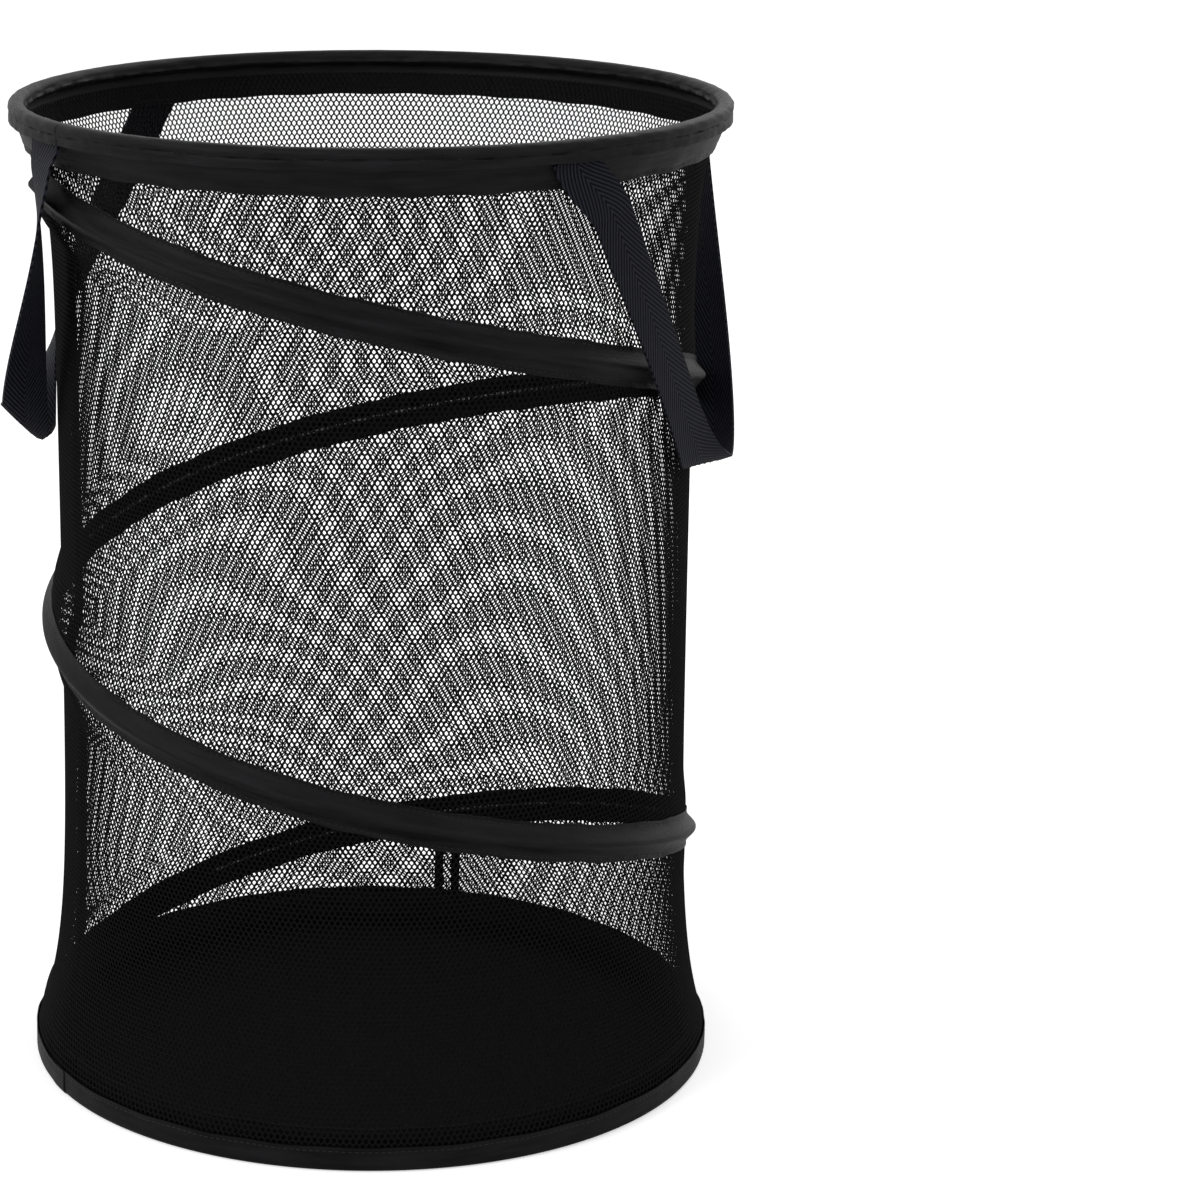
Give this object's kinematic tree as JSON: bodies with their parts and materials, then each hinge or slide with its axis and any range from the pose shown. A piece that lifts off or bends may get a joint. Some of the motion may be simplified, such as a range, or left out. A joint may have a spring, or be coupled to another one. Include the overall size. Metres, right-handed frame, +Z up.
{
  "type": "pop up laundry hamper",
  "caption": "Tall round net hamper that pops open on two spring hoops and one spiral spring, with webbing carry straps that hang from a taped rim, and a floor.",
  "frame": {"origin": "middle of the flat underside, on the hamper's axis, where it stands on the ground", "axes": "+Z up the axis to the open rim, +X towards the middle of the right carry strap, +Y round the back"},
  "size_m": [0.3921, 0.3822, 0.53],
  "materials": {
    "tape": "woven polyester tape, satin face",
    "net": "warp-knitted polyester net, matt",
    "floor_cloth": "plain woven polyester cloth, matt",
    "webbing": "herringbone polyester webbing, soft sheen",
    "ribbon": "narrow woven ribbon, matt",
    "spring_wire": "drawn spring steel wire",
    "ferrule": "zinc-plated steel tube",
    "wire_cap": "soft vinyl, matt"
  },
  "bodies": {
    "base": {"floor_panel": "floor_cloth", "bottom_hoop_wire": "spring_wire", "bottom_hoop_ferrule": "ferrule", "bottom_binding": "tape", "mesh_wall": "net", "side_seam_tape": "tape", "spiral_wire": "spring_wire", "spiral_sleeve": "tape", "spiral_tip_top": "wire_cap", "spiral_tip_bottom": "wire_cap", "stow_loop_tab": "ribbon"},
    "loop": {"stow_loop": "ribbon"},
    "rim": {"top_hoop_wire": "spring_wire", "top_hoop_ferrule": "ferrule", "rim_roll": "tape", "rim_band": "tape", "handle_right_end_a": "webbing", "handle_right_end_b": "webbing", "handle_left_end_a": "webbing", "handle_left_end_b": "webbing"},
    "strap_right": {"handle_right": "webbing"},
    "strap_left": {"handle_left": "webbing"}
  },
  "joints": [
    {"name": "collapse", "type": "slide", "parent": "base", "child": "rim", "axis": [0, 0, 1], "range_m": [-0.476, 0], "stiffness_N_per_m": 25, "springref_m": 0.3, "deforming": ["mesh_wall", "side_seam_tape", "spiral_wire", "spiral_sleeve", "spiral_tip_top", "spiral_tip_bottom", "handle_right", "handle_left"]},
    {"name": "strap_right_lift", "type": "hinge", "parent": "rim", "child": "strap_right", "pos_m": [0.154, 0, 0.5195], "axis": [0, -1, 0], "range_deg": [0, 170]},
    {"name": "strap_left_lift", "type": "hinge", "parent": "rim", "child": "strap_left", "pos_m": [-0.15316, -0.0161, 0.5195], "axis": [-0.1045, 0.9945, 0], "range_deg": [0, 170]},
    {"name": "stow_loop_fold", "type": "hinge", "parent": "base", "child": "loop", "pos_m": [-0.01235, 0.18849, 0.01133], "axis": [-0.9979, -0.0654, 0], "range_deg": [0, 85]}
  ]
}
